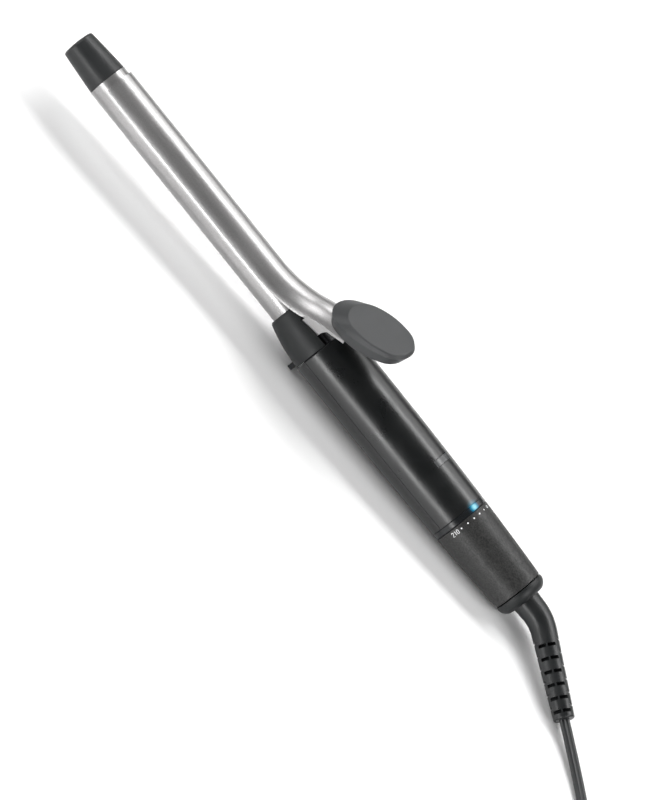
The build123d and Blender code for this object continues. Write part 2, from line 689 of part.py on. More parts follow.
# ---- swivel, strain relief and cord ----------------------------------------------------------
HUB_R = 5.64
HUB_NOSE_R = 4.0
RELIEF_START = 314.45
with BuildPart() as swivel_hub:
    revolve(
        outline((294.6, 1.6), (294.6, 3.2), (302.4, 3.2), (302.4, 4.6), (304.2, 4.6), (304.2, 6.6),
                (306.2, 6.6), (306.2, HUB_R), (RELIEF_START, HUB_R), (RELIEF_START, HUB_NOSE_R),
                (319.0, HUB_NOSE_R), (319.0, 1.6)),
        axis=LONG_AXIS,
    )
write(swivel_hub, "swivel_hub")

RING_STATIONS = (296.2, 299.8)
with BuildPart() as slip_rings:
    for station in RING_STATIONS:
        revolve(tube_outline(station, station + 2.0, 3.9, 3.2), axis=LONG_AXIS)
write(slip_rings, "slip_rings")

with BuildPart() as brush_contacts:
    for station, side in zip(RING_STATIONS, (1, -1)):
        with BuildSketch(across(station + 0.1)):
            Circle(5.8)
            Circle(3.95, mode=Mode.SUBTRACT)
            with Locations((side * 5, 1.8)):
                Rectangle(4.4, 4.4, mode=Mode.INTERSECT)
        extrude(amount=1.8)
write(brush_contacts, "brush_contacts")

with BuildPart() as mains_leads:
    for station, side in zip(RING_STATIONS, (1, -1)):
        with BuildSketch(across(254.0)):
            with Locations((side * 4.4, BOARD_UP - 0.8)):
                Circle(0.7)
        extrude(amount=station + 0.1 - 254.0)
write(mains_leads, "mains_leads")

RELIEF_BEND = (329.0, 0, 0)
RELIEF_END = (368.8, -23.9, -4.6)
RELIEF_BEND_R = 20.0
RIB_START = 7.6           # along the straight from the bend's corner to the ribbed part
RIB_R = 5.85
RIB_END_R = 4.85
RIB_PITCH = 6.1
RIB_ROWS = 6
LAST_SLOT = 3.2           # from the relief's end to its last row of slots
SLOT_LONG = 1.6
NOTCH_LONG = 1.1
SLOT_TURN = 42.0          # the slotted sides face up and to the front
CORD_HELD = 6.0           # length of cord held inside the relief's end
bend = IRON * Location(RELIEF_BEND)
relief_end = IRON * Location(RELIEF_END)
CORD_START = Vector(*relief_end.position)
CORD_WAY = (CORD_START - Vector(*bend.position)).normalized()
RELIEF_RUN = (CORD_START - Vector(*bend.position)).length


def relief_plane(distance):
    """The plane across the strain relief at a distance past its bend's corner."""
    return Plane(origin=Vector(*bend.position) + CORD_WAY * distance,
                 x_dir=CORD_WAY.cross(Vector(0, 0, 1)).rotate(Axis((0, 0, 0), CORD_WAY), SLOT_TURN),
                 z_dir=CORD_WAY)


with BuildPart() as strain_relief:
    with BuildLine() as relief_line:
        FilletPolyline((IRON * Location((RELIEF_START, 0, 0))).position, bend.position,
                       (bend.position + CORD_WAY * RIB_START), radius=RELIEF_BEND_R)
    with BuildSketch(across(RELIEF_START)):
        Circle(NECK_R)
    with BuildSketch(relief_plane(RIB_START)):
        Circle(RIB_R)
    sweep(path=relief_line.wires()[0], multisection=True)
    with BuildSketch(relief_plane(RIB_START)):
        Circle(RIB_R)
    with BuildSketch(relief_plane(RELIEF_RUN)):
        Circle(RIB_END_R)
    loft()
    fillet(strain_relief.edges().filter_by(GeomType.CIRCLE).group_by(Axis(CORD_START, CORD_WAY))[-1], 0.8)
    for row in range(RIB_ROWS):
        slot_at = RELIEF_RUN - LAST_SLOT - row * RIB_PITCH
        notch_at = slot_at - 0.4 * RIB_PITCH
        edge = RIB_END_R + (RIB_R - RIB_END_R) * (RELIEF_RUN - notch_at) / (RELIEF_RUN - RIB_START)
        with BuildSketch(relief_plane(slot_at - SLOT_LONG / 2)):
            with GridLocations(4.3, 10.8, 2, 2):
                Rectangle(3.5, 5.6)
        extrude(amount=SLOT_LONG, mode=Mode.SUBTRACT)
        with BuildSketch(relief_plane(notch_at - NOTCH_LONG / 2)):
            with GridLocations(2 * edge + 2.4, 0, 2, 1):
                Rectangle(4.2, 14.0)
        extrude(amount=NOTCH_LONG, mode=Mode.SUBTRACT)
    with BuildSketch(across(RELIEF_START)):
        Circle(HUB_NOSE_R)
    extrude(amount=319.0 - RELIEF_START, mode=Mode.SUBTRACT)
    with BuildSketch(relief_plane(RELIEF_RUN - CORD_HELD)):
        SlotOverall(CORD_WIDTH + 0.1, CORD_THICK + 0.1, rotation=-SLOT_TURN)
    extrude(amount=CORD_HELD + 1, mode=Mode.SUBTRACT)
write(strain_relief, "strain_relief")

FLOOR_LINE = SOLE + CORD_THICK / 2
HANK_AT = (380.0, -38.5)
HANK_LIFT = 1.0           # the tie's strap under the hank
HANK_RUN = 26.0           # half of a turn's straight run
HANK_OUTER = 20.9         # fold radius of the outer row of turns, at the cord's centreline
HANK_INNER = HANK_OUTER - CORD_WIDTH
HANK_STEP_TOP = HANK_LIFT + 3 * CORD_THICK
HANK_TOP = HANK_LIFT + 4 * CORD_THICK       # over the last, outermost turn
PLUG_REAR = (388.0, 0.5, 7.0)
PLUG_LENGTH = 36.0
PIN_LENGTH = 19.0
PIN_DIAMETER = 4.0
PIN_SPACING = 19.0
PIN_SHANK_R = 1.5         # the pin's end inside the plug
CORD_ROUTE = [
    CORD_START - CORD_WAY * CORD_HELD,
    Vector(231.8, -37.0, FLOOR_LINE),
    Vector(262.0, -64.0, FLOOR_LINE),
    Vector(296.0, -58.0, FLOOR_LINE),
    Vector(313.0, -28.0, FLOOR_LINE),
    Vector(335.0, -20.2, FLOOR_LINE + 0.9),
]
CORD_TAIL = [
    Vector(338.0, -25.1, HANK_STEP_TOP + CORD_THICK / 2 + 0.1),
    Vector(359.5, 0.5, HANK_STEP_TOP + CORD_THICK / 2),
    Vector(*PLUG_REAR) - Vector(0.8, 0, 0),
]


def bend_radii(route):
    """For each corner of a route, the arc that its two runs allow."""
    radii = []
    for before, corner, after in zip(route, route[1:], route[2:]):
        arriving, leaving = corner - before, after - corner
        half_turn = math.radians(arriving.get_angle(leaving)) / 2
        radii.append(0.45 * min(arriving.length, leaving.length) / math.tan(half_turn))
    return radii


def cord_tube(route):
    """The flat cord along a route of straight runs joined by tangent arcs, wide side level."""
    radii = bend_radii(route)
    print("cord arc radii, mm:", [round(radius, 1) for radius in radii])
    with BuildPart() as tube:
        with BuildLine() as line:
            FilletPolyline(*route, radius=radii)
        way = (route[1] - route[0]).normalized()
        with BuildSketch(Plane(origin=route[0], x_dir=way.cross(Vector(0, 0, 1)), z_dir=way)):
            SlotOverall(CORD_WIDTH, CORD_THICK)
        path = line.wires()[0]
        sweep(path=path)
    section = CORD_THICK * (CORD_WIDTH - CORD_THICK) + math.pi * CORD_THICK**2 / 4
    print("cord volume over section times length:", round(tube.part.volume / section / path.length, 4))
    return tube.part, path.length


lead_in, lead_length = cord_tube(CORD_ROUTE)
tail, tail_length = cord_tube(CORD_TAIL)
with BuildPart() as power_cord:
    add(lead_in)
    add(tail)
write(power_cord, "power_cord")
turn_length = 4 * HANK_RUN + math.pi * (HANK_OUTER + HANK_INNER)
print("cord outside the hank, mm:", round(lead_length + tail_length, 1))
print("turns in the hank:", round((CORD_LENGTH - lead_length - tail_length) / turn_length, 2))

with BuildPart() as cord_hank:
    with BuildSketch(Plane.XY.offset(HANK_LIFT)):
        with Locations(HANK_AT):
            SlotCenterToCenter(2 * HANK_RUN, 2 * HANK_OUTER + CORD_WIDTH)
    extrude(amount=HANK_STEP_TOP - HANK_LIFT)
    chamfer(cord_hank.faces().filter_by(Plane.XY).edges(), 1.2)
    with BuildSketch(Plane.XY.offset(HANK_STEP_TOP - 1.5)):
        with Locations(HANK_AT):
            SlotCenterToCenter(2 * HANK_RUN, 2 * HANK_OUTER + CORD_WIDTH - 0.6)
        with Locations((HANK_AT[0] - HANK_RUN - 30, HANK_AT[1])):
            Rectangle(60, 60, mode=Mode.SUBTRACT)
    extrude(amount=HANK_TOP - HANK_STEP_TOP + 1.5)
    with BuildSketch(Plane.XY):
        with Locations(HANK_AT):
            SlotCenterToCenter(2 * HANK_RUN, 2 * HANK_INNER - CORD_WIDTH)
    extrude(amount=HANK_TOP + 1, mode=Mode.SUBTRACT)
write(cord_hank, "cord_hank")

TIE_HALF = HANK_OUTER + CORD_WIDTH / 2 + 0.95
with BuildPart() as cord_tie:
    with BuildSketch(Plane.YZ.offset(HANK_AT[0] - 7)):
        with Locations((HANK_AT[1], (HANK_TOP + HANK_LIFT) / 2)):
            RectangleRounded(2 * TIE_HALF, HANK_TOP + 0.9, 1.9)
            RectangleRounded(2 * TIE_HALF - 1.8, HANK_TOP - 0.9, 1.0, mode=Mode.SUBTRACT)
    extrude(amount=14)
write(cord_tie, "cord_tie")


def plug_plane(distance):
    """The plane across the plug at a distance from its rear, looking towards its pins."""
    return Plane(origin=(PLUG_REAR[0] + distance, PLUG_REAR[1], PLUG_REAR[2]), x_dir=(0, 1, 0),
                 z_dir=(1, 0, 0))


PLUG_STATIONS = ((0, 8.0, 7.0, 3.2), (9.0, 11.0, 10.5, 4.0), (20.0, 23.0, 13.6, 4.5),
                 (PLUG_LENGTH, 26.5, 13.6, 4.5))
with BuildPart() as plug_body:
    for rear, front in zip(PLUG_STATIONS, PLUG_STATIONS[1:]):
        for distance, width, height, corner in (rear, front):
            with BuildSketch(plug_plane(distance)):
                RectangleRounded(width, height, corner)
        loft()
    with BuildSketch(plug_plane(PLUG_LENGTH)):
        with GridLocations(PIN_SPACING, 0, 2, 1):
            Circle(PIN_SHANK_R)
    extrude(amount=-8, mode=Mode.SUBTRACT)
write(plug_body, "plug_body")

with BuildPart() as plug_pins:
    with BuildSketch(plug_plane(PLUG_LENGTH - 8)):
        with GridLocations(PIN_SPACING, 0, 2, 1):
            Circle(PIN_SHANK_R)
    extrude(amount=8)
    with BuildSketch(plug_plane(PLUG_LENGTH)):
        with GridLocations(PIN_SPACING, 0, 2, 1):
            Circle(PIN_DIAMETER / 2)
    extrude(amount=PIN_LENGTH)
    fillet(plug_pins.edges().group_by(Axis.X)[-1], 1.4)
write(plug_pins, "plug_pins")
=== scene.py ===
"""The looks of a curling iron on its stand: materials, cord, marks, light and camera."""

import bpy
import json
import math
from mathutils import Matrix, Vector


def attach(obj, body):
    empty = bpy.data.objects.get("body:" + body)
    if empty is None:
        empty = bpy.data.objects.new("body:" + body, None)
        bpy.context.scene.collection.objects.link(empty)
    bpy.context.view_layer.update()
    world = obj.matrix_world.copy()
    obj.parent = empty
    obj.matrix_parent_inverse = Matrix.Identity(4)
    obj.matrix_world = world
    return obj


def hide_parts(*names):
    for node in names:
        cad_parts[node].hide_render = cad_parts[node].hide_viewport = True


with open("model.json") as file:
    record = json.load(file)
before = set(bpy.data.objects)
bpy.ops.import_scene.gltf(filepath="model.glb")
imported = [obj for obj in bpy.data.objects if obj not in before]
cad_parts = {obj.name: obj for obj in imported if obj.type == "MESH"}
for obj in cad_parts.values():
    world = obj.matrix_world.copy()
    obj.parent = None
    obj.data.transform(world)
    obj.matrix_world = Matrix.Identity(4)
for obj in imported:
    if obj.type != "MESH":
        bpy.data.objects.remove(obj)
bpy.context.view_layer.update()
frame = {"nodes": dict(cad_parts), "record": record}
MM = 0.001

# ---- the iron's own axes: x along it from the cool tip, z towards the lever --------------------
LEAN = math.radians(2.661)
CAP_END = 317.9
AXIS_HEIGHT = 26.947
IRON = (Matrix.Translation(Vector((-CAP_END * math.cos(LEAN) / 2, 0, AXIS_HEIGHT)) * MM)
        @ Matrix.Rotation(LEAN, 4, "Y"))


def on_iron(a, y=0.0, z=0.0):
    """A point given in millimetres in the iron's own axes."""
    return IRON @ (Vector((a, y, z)) * MM)


def round_iron(a, radius, angle):
    """A point at a station and a radius, so many degrees from the top towards the front."""
    turn = math.radians(angle)
    return on_iron(a, -radius * math.sin(turn), radius * math.cos(turn))


# ---- camera --------------------------------------------------------------------------------
VIEW_UP = math.radians(43.5)        # the camera's height round the iron's axis
VIEW_ROLL = math.radians(51.215)    # the iron's slope in the picture
DISTANCE = 2.3
STATION = 161.0                     # the camera is square to the iron here
FRAME_MM = 355.2                    # height of the view at the iron
AIM = (192.6, -13.7)                # the view's middle: station, and height across the view


def make_camera():
    """A long-lens camera, square to the iron at one station, that sees it from above the front."""
    along = IRON.to_3x3() @ Vector((1, 0, 0))
    rise = IRON.to_3x3() @ Vector((0, math.sin(VIEW_UP), math.cos(VIEW_UP)))
    back = IRON.to_3x3() @ Vector((0, -math.cos(VIEW_UP), math.sin(VIEW_UP)))
    place = on_iron(STATION) + back * DISTANCE
    target = on_iron(AIM[0]) + rise * AIM[1] * MM
    up = -math.sin(VIEW_ROLL) * along + math.cos(VIEW_ROLL) * rise
    z = (place - target).normalized()
    x = up.cross(z).normalized()
    y = z.cross(x)
    data = bpy.data.cameras.new("camera")
    data.lens = data.sensor_width * DISTANCE / (FRAME_MM * MM)
    camera = bpy.data.objects.new("camera", data)
    camera.matrix_world = Matrix.Translation(place) @ Matrix((x, y, z)).transposed().to_4x4()
    bpy.context.collection.objects.link(camera)
    bpy.context.scene.camera = camera


make_camera()


# ---- light -----------------------------------------------------------------------------------
LIGHTS_FACE = Vector((0.0, 0.0, 0.03))      # the point that the panels face, in metres
WORLD_STRENGTH = 0.10


def area_light(name, place, size, power):
    """A soft white panel that faces the middle of the iron, its first side along the iron."""
    data = bpy.data.lights.new(name, "AREA")
    data.shape = "RECTANGLE"
    data.size, data.size_y = size
    data.energy = power
    light = bpy.data.objects.new(name, data)
    place = Vector(place)
    z = (place - LIGHTS_FACE).normalized()
    x = Vector((1, 0, 0))
    x = (x - z * x.dot(z)).normalized()
    light.matrix_world = Matrix.Translation(place) @ Matrix((x, z.cross(x), z)).transposed().to_4x4()
    bpy.context.collection.objects.link(light)


area_light("front_strip", (0.0, -0.95, 0.10), (1.5, 0.16), 7.0)
area_light("back_strip", (0.0, 0.45, 0.86), (1.5, 0.20), 6.0)
area_light("back_panel", (0.0, 0.95, 1.00), (2.4, 1.0), 15.0)
area_light("left_panel", (-1.9, -0.45, 1.4), (1.3, 1.3), 27.0)
area_light("right_panel", (1.9, -0.45, 1.4), (1.3, 1.3), 27.0)


def make_world():
    """A dim white room, shown without a film curve."""
    world = bpy.data.worlds.new("studio")
    world.use_nodes = True
    background = world.node_tree.nodes["Background"]
    background.inputs["Color"].default_value = (1, 1, 1, 1)
    background.inputs["Strength"].default_value = WORLD_STRENGTH
    bpy.context.scene.world = world
    bpy.context.scene.view_settings.view_transform = "Standard"


make_world()


# ---- materials -------------------------------------------------------------------------------
class Shader:
    """A node material round one Principled shader, with short calls for its usual detail."""

    def __init__(self, name, colour, roughness, metallic=0.0, **sockets):
        self.material = bpy.data.materials.new(name)
        self.material.use_nodes = True
        self.tree = self.material.node_tree
        self.bsdf = self.tree.nodes["Principled BSDF"]
        self.bsdf.inputs["Base Color"].default_value = (*colour, 1)
        self.bsdf.inputs["Roughness"].default_value = roughness
        self.bsdf.inputs["Metallic"].default_value = metallic
        for socket, value in sockets.items():
            self.bsdf.inputs[socket.replace("_", " ")].default_value = value
        self.coords = self.tree.nodes.new("ShaderNodeTexCoord").outputs["Object"]
        self.normal = None

    def add(self, kind, **inputs):
        """A node with its sockets set to values or linked to other nodes."""
        node = self.tree.nodes.new(kind)
        for socket, value in inputs.items():
            socket = socket.replace("_", " ")
            if isinstance(value, bpy.types.NodeSocket):
                self.tree.links.new(value, node.inputs[socket])
            else:
                node.inputs[socket].default_value = value
        return node

    def noise(self, scale, detail=2.0, stretch=(1, 1, 1), rough=0.5):
        """A noise pattern with so many grains to the metre, more or fewer along each axis."""
        mapping = self.add("ShaderNodeMapping", Vector=self.coords, Scale=stretch)
        return self.add("ShaderNodeTexNoise", Vector=mapping.outputs["Vector"], Scale=scale,
                        Detail=detail, Roughness=rough).outputs["Fac"]

    def spread(self, fac, low, high):
        """The same pattern as a number between low and high."""
        node = self.add("ShaderNodeMapRange", Value=fac)
        node.inputs["From Min"].default_value = 0.3
        node.inputs["From Max"].default_value = 0.7
        node.inputs["To Min"].default_value = low
        node.inputs["To Max"].default_value = high
        return node.outputs["Result"]

    def colours(self, fac, *stops):
        """Colours along a pattern, each stop a place and a colour."""
        ramp = self.add("ShaderNodeValToRGB", Fac=fac)
        ramp.color_ramp.elements[0].position, first = stops[0]
        ramp.color_ramp.elements[0].color = (*first, 1)
        ramp.color_ramp.elements[1].position, last = stops[-1]
        ramp.color_ramp.elements[1].color = (*last, 1)
        for place, colour in stops[1:-1]:
            ramp.color_ramp.elements.new(place).color = (*colour, 1)
        return ramp.outputs["Color"]

    def bump(self, height, strength, distance):
        """Relief from a pattern, on top of any that the material has already."""
        node = self.add("ShaderNodeBump", Height=height, Strength=strength, Distance=distance)
        if self.normal:
            self.tree.links.new(self.normal, node.inputs["Normal"])
        self.normal = node.outputs["Normal"]
        self.tree.links.new(self.normal, self.bsdf.inputs["Normal"])

    def maths(self, operation, first, second):
        """The sum or product of an output and of a second output or number."""
        node = self.add("ShaderNodeMath", Value=first)
        node.operation = operation
        if isinstance(second, bpy.types.NodeSocket):
            self.tree.links.new(second, node.inputs[1])
        else:
            node.inputs[1].default_value = second
        return node.outputs[0]

    def feed(self, output, socket):
        """Link an output to a socket of the Principled shader."""
        self.tree.links.new(output, self.bsdf.inputs[socket])


def shade(colour, factor):
    """A colour made darker or lighter."""
    return tuple(min(1, c * factor) for c in colour)


def moulded(name, colour, roughness, grain=2500.0, depth=0.02, **sockets):
    """A shader of moulded plastic: fine spark-eroded grain, faint flow tone and handling marks."""
    spread = 0.05
    s = Shader(name, colour, roughness, **sockets)
    flow = s.noise(18, 3)
    s.feed(s.colours(flow, (0.3, shade(colour, 0.88)), (0.7, shade(colour, 1.14))), "Base Color")
    wear = s.noise(90, 5)
    s.feed(s.spread(wear, roughness - spread, roughness + spread), "Roughness")
    s.bump(s.noise(grain, 2), 0.25, depth * MM)
    return s


def plastic(name, colour, roughness, **details):
    """A material of moulded plastic."""
    return moulded(name, colour, roughness, **details).material


def soft_touch(name, colour, roughness):
    """Soft-touch lacquer: a coarse speckle of lighter and darker grains."""
    s = Shader(name, colour, roughness, Specular_IOR_Level=0.45)
    grains = s.noise(1500, 3, rough=0.7)
    s.feed(s.colours(grains, (0.38, shade(colour, 0.35)), (0.62, shade(colour, 2.1))), "Base Color")
    s.feed(s.spread(s.noise(700, 4), roughness - 0.10, roughness + 0.10), "Roughness")
    s.bump(grains, 0.35, 0.12 * MM)
    return s.material


def coated_metal(name, colour, roughness):
    """Metallic ceramic coating: fine flakes, drawn a little along the iron, in a satin film."""
    s = Shader(name, colour, roughness, metallic=0.82, Coat_Weight=0.12, Coat_Roughness=0.25)
    flakes = s.noise(2600, 3)
    drawn = s.noise(300, 3, (0.08, 1, 1))
    tone = s.maths("MULTIPLY", s.maths("ADD", flakes, drawn), 0.5)
    s.feed(s.colours(tone, (0.35, shade(colour, 0.82)), (0.65, shade(colour, 1.16))),
           "Base Color")
    s.feed(s.spread(s.noise(60, 4, (0.3, 1, 1)), roughness - 0.04, roughness + 0.04), "Roughness")
    s.bump(flakes, 0.12, 0.01 * MM)
    return s.material


def bare_metal(name, colour, roughness, stretch=(1, 1, 1)):
    """Turned or drawn metal with fine lines and a few duller patches."""
    s = Shader(name, colour, roughness, metallic=1.0)
    lines = s.noise(1800, 2, stretch)
    s.feed(s.colours(s.noise(120, 4), (0.3, shade(colour, 0.85)), (0.7, colour)), "Base Color")
    s.feed(s.spread(s.noise(200, 4), roughness - 0.06, roughness + 0.1), "Roughness")
    s.bump(lines, 0.2, 0.01 * MM)
    return s.material


MATERIALS = {
    "tip_plastic": plastic("tip_plastic", (0.012, 0.013, 0.0135), 0.42, grain=1500, depth=0.03,
                            Specular_IOR_Level=0.42),
    "screw_steel": bare_metal("screw_steel", (0.50, 0.50, 0.51), 0.32),
    "bracket_steel": bare_metal("bracket_steel", (0.58, 0.58, 0.58), 0.38),
    "barrel_coating": coated_metal("barrel_coating", (0.37, 0.365, 0.365), 0.31),
    "clip_coating": coated_metal("clip_coating", (0.36, 0.355, 0.355), 0.34),
    "spreader_aluminium": bare_metal("spreader_aluminium", (0.78, 0.78, 0.79), 0.35, (0.05, 1, 1)),
    "heater_ceramic": plastic("heater_ceramic", (0.86, 0.85, 0.82), 0.35, grain=900),
    "sensor_glass": plastic("sensor_glass", (0.75, 0.66, 0.48), 0.12, Transmission_Weight=0.4),
    "holder_plastic": plastic("holder_plastic", (0.050, 0.050, 0.052), 0.55, grain=1200, depth=0.04),
    "collar_plastic": plastic("collar_plastic", (0.007, 0.0082, 0.0086), 0.46, grain=1800, depth=0.03,
                              Specular_IOR_Level=0.36),
    "lever_plastic": plastic("lever_plastic", (0.030, 0.0315, 0.033), 0.50, grain=1800, depth=0.03),
    "housing_plastic": plastic("housing_plastic", (0.012, 0.012, 0.013), 0.20),
    "spring_steel": bare_metal("spring_steel", (0.48, 0.48, 0.49), 0.28),
    "board_laminate": plastic("board_laminate", (0.02, 0.16, 0.06), 0.30, grain=700, depth=0.05),
    "chip_epoxy": plastic("chip_epoxy", (0.02, 0.02, 0.02), 0.50, grain=1500),
    "capacitor_film": plastic("capacitor_film", (0.06, 0.11, 0.34), 0.22),
    "lead_sleeve": plastic("lead_sleeve", (0.74, 0.72, 0.64), 0.80, grain=1300, depth=0.2),
    "lead_plastic": plastic("lead_plastic", (0.36, 0.12, 0.06), 0.32),
    "switch_plastic": plastic("switch_plastic", (0.06, 0.06, 0.06), 0.45),
    "button_plastic": plastic("button_plastic", (0.060, 0.062, 0.064), 0.22),
    "dial_plastic": soft_touch("dial_plastic", (0.012, 0.012, 0.0116), 0.48),
    "inner_plastic": plastic("inner_plastic", (0.13, 0.13, 0.14), 0.50),
    "contact_brass": bare_metal("contact_brass", (0.80, 0.56, 0.22), 0.25),
    "relief_rubber": plastic("relief_rubber", (0.006, 0.007, 0.0075), 0.38, grain=1600, depth=0.03),
    "cord_pvc": plastic("cord_pvc", (0.014, 0.015, 0.016), 0.38, grain=1800, depth=0.02),
    "plug_plastic": plastic("plug_plastic", (0.015, 0.016, 0.017), 0.33, grain=2200),
    "pin_metal": bare_metal("pin_metal", (0.74, 0.74, 0.73), 0.16),
    "mark_ink": plastic("mark_ink", (0.78, 0.79, 0.80), 0.45, grain=2500, depth=0.005),
}
LAMP_ANGLE = 10.0                   # degrees from the top towards the front of the iron
LED_AT = round_iron(270.6, 13.9, LAMP_ANGLE)
SPILL_REACH = 4.2 * MM              # the lamp's light on the handle goes so far from the lamp


def nearness(s, reach, most):
    """A number that falls smoothly from the most it can be, at the lamp, to 0 at a reach from it."""
    away = s.add("ShaderNodeVectorMath", Vector=s.coords)
    away.operation = "DISTANCE"
    away.inputs[1].default_value = LED_AT
    near = s.add("ShaderNodeMapRange", Value=away.outputs["Value"])
    near.interpolation_type = "SMOOTHSTEP"
    near.inputs["From Min"].default_value = 0.0
    near.inputs["From Max"].default_value = reach
    near.inputs["To Min"].default_value = most
    near.inputs["To Max"].default_value = 0.0
    return near.outputs["Result"]


def glow_material(name, colour, roughness, reach, strength):
    """Plastic lit from behind round the lamp: nearly white in the middle, then blue."""
    s = Shader(name, colour, roughness)
    s.feed(s.colours(nearness(s, reach, 1.0), (0.0, (0.0, 0.0, 0.0)), (0.30, (0.0, 0.02, 0.04)),
                     (0.65, (0.0, 0.26, 0.46)), (1.0, (0.22, 0.80, 0.95))), "Emission Color")
    s.bsdf.inputs["Emission Strength"].default_value = strength
    s.feed(s.spread(s.noise(150, 4), roughness - 0.04, roughness + 0.05), "Roughness")
    s.bump(s.noise(1500, 2), 0.15, 0.01 * MM)
    return s.material


def lit_handle():
    """The handle's plastic with the lamp's light spilling faintly over its rear rim."""
    s = moulded("handle_plastic", (0.0015, 0.0022, 0.0024), 0.31, grain=3000, depth=0.012,
                Specular_IOR_Level=0.7)
    s.bsdf.inputs["Emission Color"].default_value = (0.0, 0.36, 0.55, 1)
    s.feed(nearness(s, SPILL_REACH, 0.55), "Emission Strength")
    return s.material


def tie_material():
    """Woven strap: two crossing thread waves and a fuzzy sheen."""
    s = Shader("tie_fabric", (0.022, 0.022, 0.024), 0.85, Sheen_Weight=0.6)
    waves = []
    for direction in ("X", "Y"):
        wave = s.add("ShaderNodeTexWave", Vector=s.coords, Scale=260.0, Distortion=0.4)
        wave.bands_direction = direction
        waves.append(wave.outputs["Fac"])
    height = s.maths("MULTIPLY", *waves)
    s.feed(s.colours(height, (0.1, (0.012, 0.012, 0.013)), (0.8, (0.040, 0.040, 0.043))), "Base Color")
    s.bump(height, 0.6, 0.15 * MM)
    s.bump(s.noise(2500, 3), 0.3, 0.05 * MM)
    return s.material


def finish_cad():
    """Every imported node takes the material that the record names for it."""
    for subpart in frame["record"]["subparts"]:
        for slot in frame["nodes"][subpart["node"]].material_slots:
            slot.material = MATERIALS[subpart["material_slot"]]


MATERIALS["ring_smoke"] = glow_material("ring_smoke", (0.006, 0.007, 0.008), 0.24, 4.4 * MM, 0.85)
MATERIALS["led_blue"] = glow_material("led_blue", (0.06, 0.36, 0.50), 0.15, 7.0 * MM, 0.9)
MATERIALS["handle_plastic"] = lit_handle()
MATERIALS["tie_fabric"] = tie_material()
finish_cad()


# ---- floor -----------------------------------------------------------------------------------
FLOOR_HALF = 4.0                    # metres


def make_floor():
    """A plain pale floor, a little uneven in its gloss."""
    corners = [(x * FLOOR_HALF, y * FLOOR_HALF, 0) for x, y in ((-1, -1), (1, -1), (1, 1), (-1, 1))]
    mesh = bpy.data.meshes.new("floor")
    mesh.from_pydata(corners, [], [(0, 1, 2, 3)])
    floor = bpy.data.objects.new("floor", mesh)
    bpy.context.collection.objects.link(floor)
    s = Shader("floor", (0.92, 0.92, 0.92), 0.7)
    s.feed(s.spread(s.noise(3, 3), 0.66, 0.74), "Roughness")
    mesh.materials.append(s.material)


make_floor()


def new_piece(name, verts, faces, slot, body, smooth=True):
    """A mesh piece in metres that rides on a body; its finish is a slot of the record or its own."""
    mesh = bpy.data.meshes.new(name)
    mesh.from_pydata([tuple(v) for v in verts], [], faces)
    mesh.update()
    mesh.polygons.foreach_set("use_smooth", [smooth] * len(mesh.polygons))
    piece = bpy.data.objects.new(name, mesh)
    bpy.context.collection.objects.link(piece)
    mesh.materials.append(MATERIALS[slot])
    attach(piece, body)
    return piece


# ---- dial marks --------------------------------------------------------------------------------
MARKS_AT = 274.4                    # station of the row of marks
MARK_STEP = 15.1                    # degrees from one mark to the next
DIAL_EDGE = 272.5                   # station of the dial's front edge
DIAL_EDGE_R = 13.85
DIAL_TAPER = 0.0284                 # the dial's radius falls so much for each millimetre towards its rear
DIAL_R = 13.8                       # radius of the dial at the marks
INK_TOP = 0.03                      # the ink stands so far above the dial and goes so far into it
INK_FOOT = -0.02
DOTS = range(-1, 4)                 # the dots' places in steps from the lamp, towards the front
RING_PLACE = -2
NUMBER_PLACE = 4
DOT_R = 0.36
RING_R = 0.55
RING_LINE = 0.28
DIGIT_LINE = 0.24
DIGIT_HALF_WIDTH = 0.95
DIGIT_HALF_HEIGHT = 1.0
DIGIT_PLACES = (("2", -1.45), ("1", -0.05), ("0", 1.35))
MARK_SHIFT = 0.1                    # the ring sits so far towards the handle, the number away from it
DIGITS = {                          # each digit as one line, its width and height from -1 to 1
    "2": [(-0.5, 0.55), (-0.38, 0.86), (0.0, 1.0), (0.4, 0.84), (0.5, 0.55), (0.3, 0.15), (-0.5, -1.0),
          (0.55, -1.0)],
    "1": [(-0.3, 0.62), (0.1, 1.0), (0.1, -1.0)],
    "0": [(0.0, 1.0), (0.38, 0.8), (0.5, 0.35), (0.5, -0.35), (0.38, -0.8), (0.0, -1.0), (-0.38, -0.8),
          (-0.5, -0.35), (-0.5, 0.35), (-0.38, 0.8), (0.0, 1.0)],
}


def dial_radius(a):
    """The dial's surface near its front edge."""
    return DIAL_EDGE_R - (a - DIAL_EDGE) * DIAL_TAPER


def on_dial(u, v, rise):
    """A point of the dial: u mm round it towards the top, v mm towards the handle, so far above it."""
    a = MARKS_AT - v
    return round_iron(a, dial_radius(a) + rise, LAMP_ANGLE - math.degrees(u / DIAL_R))


def ink_stroke(points, width, verts, faces):
    """A printed line along points (u, v): a thin ribbon that follows the dial, closed if they are."""
    first = len(verts)
    for i, (u, v) in enumerate(points):
        before, after = points[max(i - 1, 0)], points[min(i + 1, len(points) - 1)]
        if points[0] == points[-1] and i in (0, len(points) - 1):
            before, after = points[-2], points[1]
        du, dv = after[0] - before[0], after[1] - before[1]
        size = math.hypot(du, dv)
        nu, nv = -dv / size * width / 2, du / size * width / 2
        for side, rise in ((1, INK_TOP), (-1, INK_TOP), (-1, INK_FOOT), (1, INK_FOOT)):
            verts.append(on_dial(u + side * nu, v + side * nv, rise))
    for i in range(len(points) - 1):
        for j in range(4):
            a, b = first + 4 * i + j, first + 4 * i + (j + 1) % 4
            faces.append((a, a + 4, b + 4, b))
    if points[0] != points[-1]:
        last = first + 4 * (len(points) - 1)
        faces.append((first + 3, first + 2, first + 1, first))
        faces.append((last, last + 1, last + 2, last + 3))


